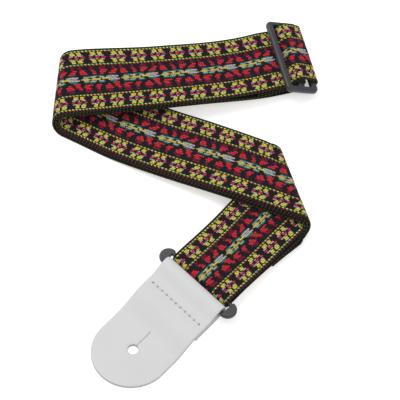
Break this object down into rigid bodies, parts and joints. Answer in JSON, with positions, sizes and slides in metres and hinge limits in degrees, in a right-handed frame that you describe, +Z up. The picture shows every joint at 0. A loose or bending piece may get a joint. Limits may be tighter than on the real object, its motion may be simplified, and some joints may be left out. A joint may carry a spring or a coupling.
{
  "type": "guitar strap",
  "caption": "Adjustable two-inch jacquard guitar strap folded in a Z, with a slide, a loop and leather ends that have button holes.",
  "frame": {"origin": "centre of the front tab's strap-button hole, on the surface the strap lies on", "axes": "+Z up out of the button hole, +Y away from the viewer's side where the front tab lies, +X towards the side with the slide"},
  "size_m": [0.1828, 0.2879, 0.0185],
  "materials": {
    "webbing": "woven jacquard, black ground with red, yellow and green figures",
    "leather": "white, finely grained, semi-matt",
    "plastic": "moulded, dark grey, slight sheen",
    "thread": "white sewing thread"
  },
  "bodies": {
    "strap": {"webbing": "webbing", "slide": "plastic", "rear_tab": "leather", "rear_tab_seam": "thread", "slide_end_seam": "thread"},
    "loop": {"loop": "plastic"},
    "front_tab": {"front_tab": "leather", "front_tab_seam": "thread"}
  },
  "joints": [
    {"name": "loop_swing", "type": "hinge", "parent": "strap", "child": "loop", "pos_m": [0.04414, 0.04916, 0.0067], "axis": [-0.6871, 0.7266, 0], "range_deg": [0, 45]},
    {"name": "front_tab_swing", "type": "hinge", "parent": "loop", "child": "front_tab", "pos_m": [0.03848, 0.0438, 0.0067], "axis": [-0.6871, 0.7266, 0], "range_deg": [0, 90]}
  ]
}
